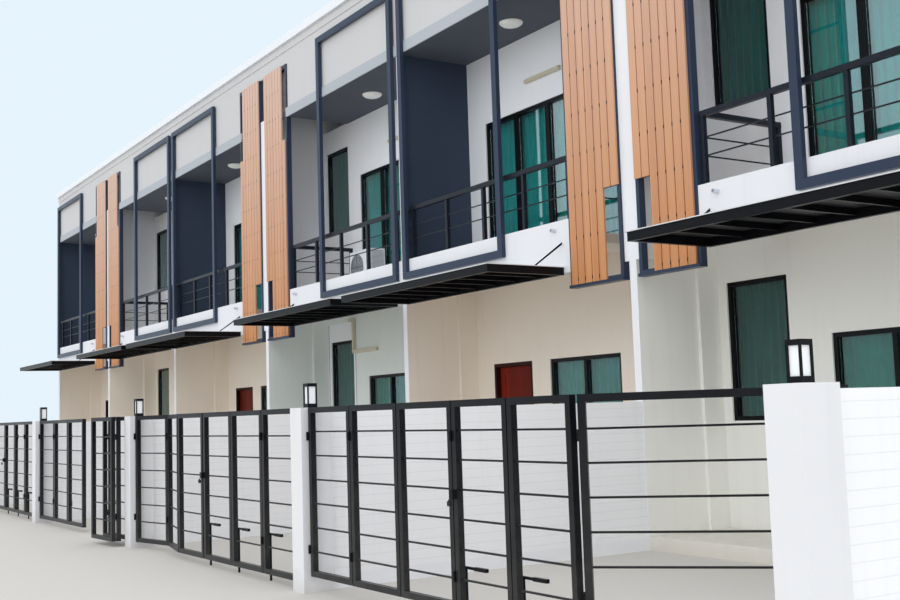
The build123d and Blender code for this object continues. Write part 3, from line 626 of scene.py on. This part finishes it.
# %% Finishing schedule
schedule = {
    "party_walls": party_render, "ground_slab": floor_render, "upper_floors": floor_render,
    "balcony_kerbs": white_render, "ceiling_bands": grey_render,
    "porch_walls_beside_doors": porch_render, "porch_walls_over_doors": porch_render,
    "porch_walls_with_windows": window_wall_render, "upper_front_walls": room_render,
    "rear_walls": beige_render, "upper_wall": beige_render,
    "balcony_ceilings": ceiling_paint, "room_ceilings": room_render,
    "gate_posts": white_render, "yard_walls": yard_wall_render, "end_return_wall": yard_wall_render,
    "portal_frames": hoop_steel, "slat_frames": hoop_steel,
    "balcony_railings": rail_steel, "railing_returns": rail_steel, "canopy_frames": canopy_steel,
    "canopy_stays": canopy_steel, "canopy_covers": canopy_sheet, "folding_gates": gate_steel,
    "gate_hardware": canopy_steel, "lantern_frames": canopy_steel, "roof_sheeting": roof_metal,
    "roof_edge": white_metal, "outdoor_unit": white_metal, "drain_spouts": pale_plastic,
    "slat_boards": teak_board, "fixed_doors": door_wood, "house_3_door": door_wood, "house_5_door": door_wood,
    "fixed_door_frames": shade_darkened_frame_wood, "opening_door_frames": shade_darkened_frame_wood, "fixed_door_ironwork": handle_steel,
    "house_3_door_ironwork": handle_steel, "house_5_door_ironwork": handle_steel,
    "window_frames": joinery_black, "sliding_door_frames": joinery_black,
    "window_glass": pane_glass, "sliding_door_glass": film_glass, "pipe_cover": cream_plastic,
    "ceiling_lamps": opal_shade, "tube_lights": cream_plastic, "lantern_glass": lantern_pane,
}
for node_name, finish in schedule.items():
    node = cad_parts[node_name]
    node.data.materials.clear()
    node.data.materials.append(finish)
left_over = sorted(set(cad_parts) - set(schedule))
print("finished", len(schedule), "nodes; still to dress:", left_over)


# %% [markdown]
# ## Curtains
# Behind the glass hang drawn curtains of a teal cloth. Each is one sheet gathered into deep pleats, so
# it starts as a fine grid, and its points are pushed in and out by a wave whose depth and spacing
# wander a little, as cloth does on a rail.

# %% Curtain cloth
def cloth_material(name, dark, light):
    material, tree, shader = start_material(name, 0.85, Sheen_Weight=0.35, Sheen_Roughness=0.5)
    place = add_node(tree, "ShaderNodeTexCoord").outputs["UV"]
    weave = add_node(tree, "ShaderNodeTexWave", wave_type="BANDS", bands_direction="Y")
    weave.inputs["Scale"].default_value = 120.0
    tree.links.new(place, weave.inputs["Vector"])
    tone = noise_node(tree, place, 3.0, 4.0, 0.6)
    colour = mix_colours(tree, tone, dark, light)
    tree.links.new(colour, shader.inputs["Base Color"])
    add_bump(tree, shader, weave.outputs["Fac"], 0.001, 0.3)
    return material


# One teal cloth in three copies: the first is brightened as painted light, the porch and tall-window copies
# are darker as painted shade.
curtain_cloth = cloth_material("curtain_cloth", paint(16, 160, 158), paint(58, 208, 200))
porch_shade_cloth = cloth_material("porch_shade_cloth", paint(24, 112, 104), paint(62, 168, 152))
shaded_cloth = cloth_material("shaded_cloth", paint(4, 80, 78), paint(10, 108, 102))
front_wall = 0.12
curtain_stand_off = 0.031
curtain_y = row_y + porch_depth + front_wall + curtain_stand_off
pleat_pitch = 0.115
pleat_depth = 0.021
pleat_wander = 0.55
top_gather = 0.25
columns_per_pleat = 10
cloth_rows = 10


def hang_curtain(name, x_left, x_right, bottom, top, finish):
    """One gathered curtain between two x places, in the space its CAD solid holds."""
    width, height = x_right - x_left, top - bottom
    columns = round(width / pleat_pitch) * columns_per_pleat
    cloth = bmesh.new()
    uv = cloth.loops.layers.uv.new("cloth")
    bmesh.ops.create_grid(cloth, x_segments=columns, y_segments=cloth_rows, size=0.5)
    for vert in cloth.verts:
        across, up = vert.co.x + 0.5, vert.co.y + 0.5
        wander = noise.noise(Vector((across * width * 1.7, up * 0.6, x_left)))
        phase = across * width / pleat_pitch + wander * pleat_wander
        depth = pleat_depth * (0.72 + 0.28 * noise.noise(Vector((phase * 0.7, up * 1.4, x_left + 9.0))))
        spread = 1.0 - top_gather * up
        vert.co = Vector((x_left + across * width, curtain_y + depth * spread * math.sin(phase * math.tau),
                          bottom + up * height))
    for face in cloth.faces:
        face.smooth = True
        for loop in face.loops:
            loop[uv].uv = (loop.vert.co.x - x_left, loop.vert.co.z - bottom)
    mesh = bpy.data.meshes.new(name)
    cloth.to_mesh(mesh)
    cloth.free()
    piece = bpy.data.objects.new(name, mesh)
    bpy.context.collection.objects.link(piece)
    mesh.materials.append(finish)
    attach(piece, "row")
    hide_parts("curtains")


# %% Hang them
curtained_windows = [
    ("ground_window", 1.82, 3.40, 0.99, 2.29),
    ("ground_tall", 3.85, 4.83, 1.29, 2.97),
    ("upper_door_a", 0.46, 1.99, 3.69, 5.92),
    ("upper_door_b", 2.02, 3.55, 3.69, 5.92),
    ("upper_tall", 3.90, 4.86, 4.89, 6.55),
]
hung = 0
for house in houses:
    for title, u_left, u_right, bottom, top in curtained_windows:
        ends = sorted((house_x(house, u_left), house_x(house, u_right)))
        # Tall windows take the painted-shade copy, porch windows the darker porch copy, and the rest the
        # brightened one.
        cloth = shaded_cloth if "tall" in title else curtain_cloth
        if title == "ground_window":
            cloth = porch_shade_cloth
        hang_curtain(f"{title}_curtain_{house}", ends[0], ends[1], bottom, top, cloth)
        hung += 1
print("hung", hung, "curtains")

# %% [markdown]
# ## Board fixings
# Between the boards, every half metre or so, a small dark clip shows in the gap. They are joined into
# one mesh, because there are hundreds and each is only a small block.

# %% Small fittings as joined blocks
def finish_piece(name, solid, material, body="row"):
    """Turns a bmesh into a piece of the row, with its normals outward."""
    bmesh.ops.remove_doubles(solid, verts=solid.verts, dist=1e-6)
    bmesh.ops.recalc_face_normals(solid, faces=solid.faces)
    mesh = bpy.data.meshes.new(name)
    solid.to_mesh(mesh)
    solid.free()
    piece = bpy.data.objects.new(name, mesh)
    bpy.context.collection.objects.link(piece)
    mesh.materials.append(material)
    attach(piece, body)
    print(name, "faces", len(mesh.polygons))
    return piece


def shade_smooth(piece):
    for polygon in piece.data.polygons:
        polygon.use_smooth = True


def part_boxes(node_name):
    """The low and high corner of each separate solid in a CAD node."""
    solid = bmesh.new()
    solid.from_mesh(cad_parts[node_name].data)
    bmesh.ops.remove_doubles(solid, verts=solid.verts, dist=1e-5)
    unseen, boxes = set(solid.verts), []
    while unseen:
        group, edge_of = [], [min(unseen, key=lambda vert: vert.index)]
        unseen.discard(edge_of[0])
        while edge_of:
            vert = edge_of.pop()
            group.append(vert.co.copy())
            for edge in vert.link_edges:
                other = edge.other_vert(vert)
                if other in unseen:
                    unseen.discard(other)
                    edge_of.append(other)
        boxes.append((Vector([min(c[i] for c in group) for i in range(3)]),
                      Vector([max(c[i] for c in group) for i in range(3)])))
    solid.free()
    return boxes


def add_block(solid, centre, size):
    shape = bmesh.ops.create_cube(solid, size=1.0)
    bmesh.ops.scale(solid, vec=size, verts=shape["verts"])
    bmesh.ops.translate(solid, vec=centre, verts=shape["verts"])


board_front = row_y - 0.05
clip_size = (0.018, 0.014, 0.038)
clip_gaps, clip_levels = 6, 10
first_clip, clip_pitch, clip_wander = 3.05, 0.49, 0.02
short_gaps, short_board_foot = 2, 4.1
last_gap, last_gap_top = 5, 6.4
clips = bmesh.new()
for house in houses:
    for gap in range(clip_gaps):
        u = first_board_edge - board_pitch * (gap + 1) + board_gap / 2
        for level in range(clip_levels):
            z = first_clip + level * clip_pitch + clip_wander * noise.noise(Vector((house, gap, level)))
            if gap < short_gaps and z < short_board_foot or gap == last_gap and z > last_gap_top:
                continue
            add_block(clips, (house_x(house, u), board_front + clip_size[1] / 2, z), clip_size)
finish_piece("board_clips", clips, clip_plastic)

# %% [markdown]
# ## Ceiling lamps
# The lamp under each balcony ceiling is a shallow opal dome with a rolled rim. A dome is a lathe shape,
# so half its outline is drawn once and spun round the lamp's own axis.

# %% Spun lamp shades
lamp_outline = [(0.0, -0.070), (0.045, -0.068), (0.088, -0.060), (0.124, -0.047), (0.150, -0.030),
                (0.161, -0.018), (0.165, -0.010), (0.165, 0.0)]
lamp_steps = 32


def spun(solid, centre, outline, steps):
    """Spins an outline of (radius, height) pairs once round an upright axis through a point."""
    points = [solid.verts.new((centre[0] + radius, centre[1], centre[2] + height))
              for radius, height in outline]
    edges = [solid.edges.new(pair) for pair in zip(points, points[1:])]
    bmesh.ops.spin(solid, geom=points + edges, cent=centre, axis=(0, 0, 1), dvec=(0, 0, 0),
                   angle=math.tau, steps=steps, use_merge=True)


shades = bmesh.new()
lamp_places = part_boxes("ceiling_lamps")
for low, high in lamp_places:
    middle = (low + high) / 2
    spun(shades, (middle.x, middle.y, high.z), lamp_outline, lamp_steps)
bmesh.ops.holes_fill(shades, edges=[e for e in shades.edges if e.is_boundary], sides=lamp_steps)
shade_piece = finish_piece("lamp_shades", shades, opal_shade)
shade_smooth(shade_piece)
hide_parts("ceiling_lamps")
print("lamps", len(lamp_places))

# %% [markdown]
# ## The outdoor unit
# Its fan sits behind a guard of wire rings on crossed bars, and the end of the casing has rows of
# louvres. Each ring is a small square of wire spun round the fan's axis.

# %% Fan guard and louvres
unit_low, unit_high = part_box("outdoor_unit")
unit_house, fan_u = 4, 2.2
unit_foot, fan_rise = 0.06, 0.27
wire = 0.003
fan_centre = (house_x(unit_house, fan_u), unit_low.y - wire, unit_low.z + unit_foot + fan_rise)
ring_radii = (0.035, 0.07, 0.105, 0.14, 0.175, 0.21)
bar_length, bar_depth, bar_width = 0.43, 0.004, 0.008


def bend_wire(solid, centre, radius, axis, angle, steps):
    """Spins a small square of wire about a centre; a full turn closes into a ring."""
    corners = [solid.verts.new((centre[0] + radius + a, centre[1] + b, centre[2]))
               for a, b in ((-wire, -wire), (wire, -wire), (wire, wire), (-wire, wire))]
    sides = [solid.edges.new((corners[i], corners[(i + 1) % 4])) for i in range(4)]
    bmesh.ops.spin(solid, geom=corners + sides, cent=centre, axis=axis, dvec=(0, 0, 0),
                   angle=angle, steps=steps, use_merge=angle == math.tau)


guard = bmesh.new()
for ring_radius in ring_radii:
    bend_wire(guard, fan_centre, ring_radius, (0, 1, 0), math.tau, 32)
add_block(guard, fan_centre, (bar_length, bar_depth, bar_width))
add_block(guard, fan_centre, (bar_width, bar_depth, bar_length))
finish_piece("fan_guard", guard, canopy_steel)

# %% End louvres
louvres = bmesh.new()
louvre_rows, louvre_pitch, first_louvre = 24, 0.02, 0.1
louvre_proud, louvre_margin = 0.002, 0.05
louvre_size = (0.006, unit_high.y - unit_low.y - louvre_margin, 0.007)
for row in range(louvre_rows):
    z = unit_low.z + first_louvre + row * louvre_pitch
    add_block(louvres, (unit_high.x + louvre_proud, (unit_low.y + unit_high.y) / 2, z), louvre_size)
finish_piece("unit_louvres", louvres, louvre_metal)

# %% [markdown]
# ## Gate padlocks and bolt grips
# A padlock hangs from each gate's lock, and the levers of the drop bolts end in a thicker grip. Their
# places are read from the CAD hardware, so they stay on the leaves that carry them.

# %% Padlocks and grips
lock_above, lock_below, lock_tallest = 0.8, 1.1, 0.1
bolt_shortest = 0.3
lock_out, lock_drop, lock_size = 0.012, 0.032, (0.036, 0.018, 0.034)
bow_radius, bow_drop = 0.012, 0.016
grip_out, grip_drop, grip_size = 0.025, 0.009, (0.15, 0.026, 0.026)
locks, bolts = [], []
for low, high in part_boxes("gate_hardware"):
    size = high - low
    if lock_above < low.z < lock_below and size.z < lock_tallest:
        locks.append((low, high))
    if size.z > bolt_shortest:
        bolts.append((low, high))
padlocks = bmesh.new()
for low, high in locks:
    middle = (low + high) / 2
    front = low.y - lock_out
    add_block(padlocks, (middle.x, front, low.z - lock_drop), lock_size)
    bend_wire(padlocks, (middle.x, front, low.z - bow_drop), bow_radius, (0, -1, 0), math.pi, 12)
finish_piece("padlocks", padlocks, gate_steel)
grips = bmesh.new()
for low, high in bolts:
    add_block(grips, (high.x + grip_out, (low.y + high.y) / 2, high.z - grip_drop), grip_size)
finish_piece("bolt_grips", grips, canopy_steel)
print("locks", len(locks), "bolts", len(bolts))

# %% [markdown]
# ## Floor, light and camera
# The row stands on a plain pale floor under a soft overcast sky. The sky lights it evenly, and the
# camera, reflections and glass see the same sky a little bluer. The camera's place comes from the
# photograph's own vanishing lines.

# %% Floor
floor_reach = 400.0
floor_mesh = bmesh.new()
bmesh.ops.create_grid(floor_mesh, x_segments=1, y_segments=1, size=floor_reach)
floor_data = bpy.data.meshes.new("floor")
floor_mesh.to_mesh(floor_data)
floor_mesh.free()
floor = bpy.data.objects.new("floor", floor_data)
bpy.context.collection.objects.link(floor)
floor_material, floor_tree, floor_shader = start_material("floor_paint", 0.9)
floor_shader.inputs["Base Color"].default_value = paint(216, 212, 206)
floor_data.materials.append(floor_material)

# %% Sky and sun
sky_strength = 1.2
sky_light = (0.95, 0.975, 1.0, 1.0)
sky_seen = (0.66, 0.75, 0.82, 1.0)
sun_strength = 0.35
sun_spread = math.radians(50)
sun_direction = Vector((0.6, -0.75, 0.42))
world = bpy.data.worlds.new("overcast")
bpy.context.scene.world = world
world.use_nodes = True
sky_tree = world.node_tree
background = sky_tree.nodes["Background"]
seen = add_node(sky_tree, "ShaderNodeLightPath")
seen_amount = math_node(sky_tree, "MAXIMUM", seen.outputs["Is Camera Ray"],
                        math_node(sky_tree, "MAXIMUM", seen.outputs["Is Glossy Ray"],
                                  seen.outputs["Is Transmission Ray"]))
background.inputs["Strength"].default_value = sky_strength
sky_colour = mix_colours(sky_tree, seen_amount, sky_light, sky_seen)
sky_tree.links.new(sky_colour, background.inputs["Color"])

sun_data = bpy.data.lights.new("soft_sun", "SUN")
sun_data.energy = sun_strength
sun_data.angle = sun_spread
sun_data.color = (1.0, 0.985, 0.96)
sun = bpy.data.objects.new("soft_sun", sun_data)
bpy.context.collection.objects.link(sun)
sun.rotation_euler = sun_direction.to_track_quat("Z", "Y").to_euler()

# %% Camera
camera_yaw = math.radians(147.2442)
camera_pitch = math.radians(5.6233)
camera_roll = math.radians(-1.8513)
camera_along, camera_out, eye_height = 34.5475, 8.5663, 1.5358
ahead = Vector((math.cos(camera_yaw) * math.cos(camera_pitch),
                math.sin(camera_yaw) * math.cos(camera_pitch), math.sin(camera_pitch)))
level_right = Vector((math.sin(camera_yaw), -math.cos(camera_yaw), 0))
level_up = level_right.cross(ahead)
right = level_right * math.cos(camera_roll) + level_up * math.sin(camera_roll)
up = level_up * math.cos(camera_roll) - level_right * math.sin(camera_roll)
camera_data = bpy.data.cameras.new("street_camera")
camera_data.sensor_width = 36.0
camera_data.lens = 46.08
camera_data.clip_end = 1000
camera = bpy.data.objects.new("street_camera", camera_data)
bpy.context.collection.objects.link(camera)
turn = Matrix((right, up, -ahead)).transposed()
camera_spot = Matrix.Translation((row_x + camera_along, row_y - camera_out, eye_height))
camera.matrix_world = camera_spot @ turn.to_4x4()
bpy.context.scene.camera = camera
bpy.context.scene.view_settings.view_transform = "Standard"
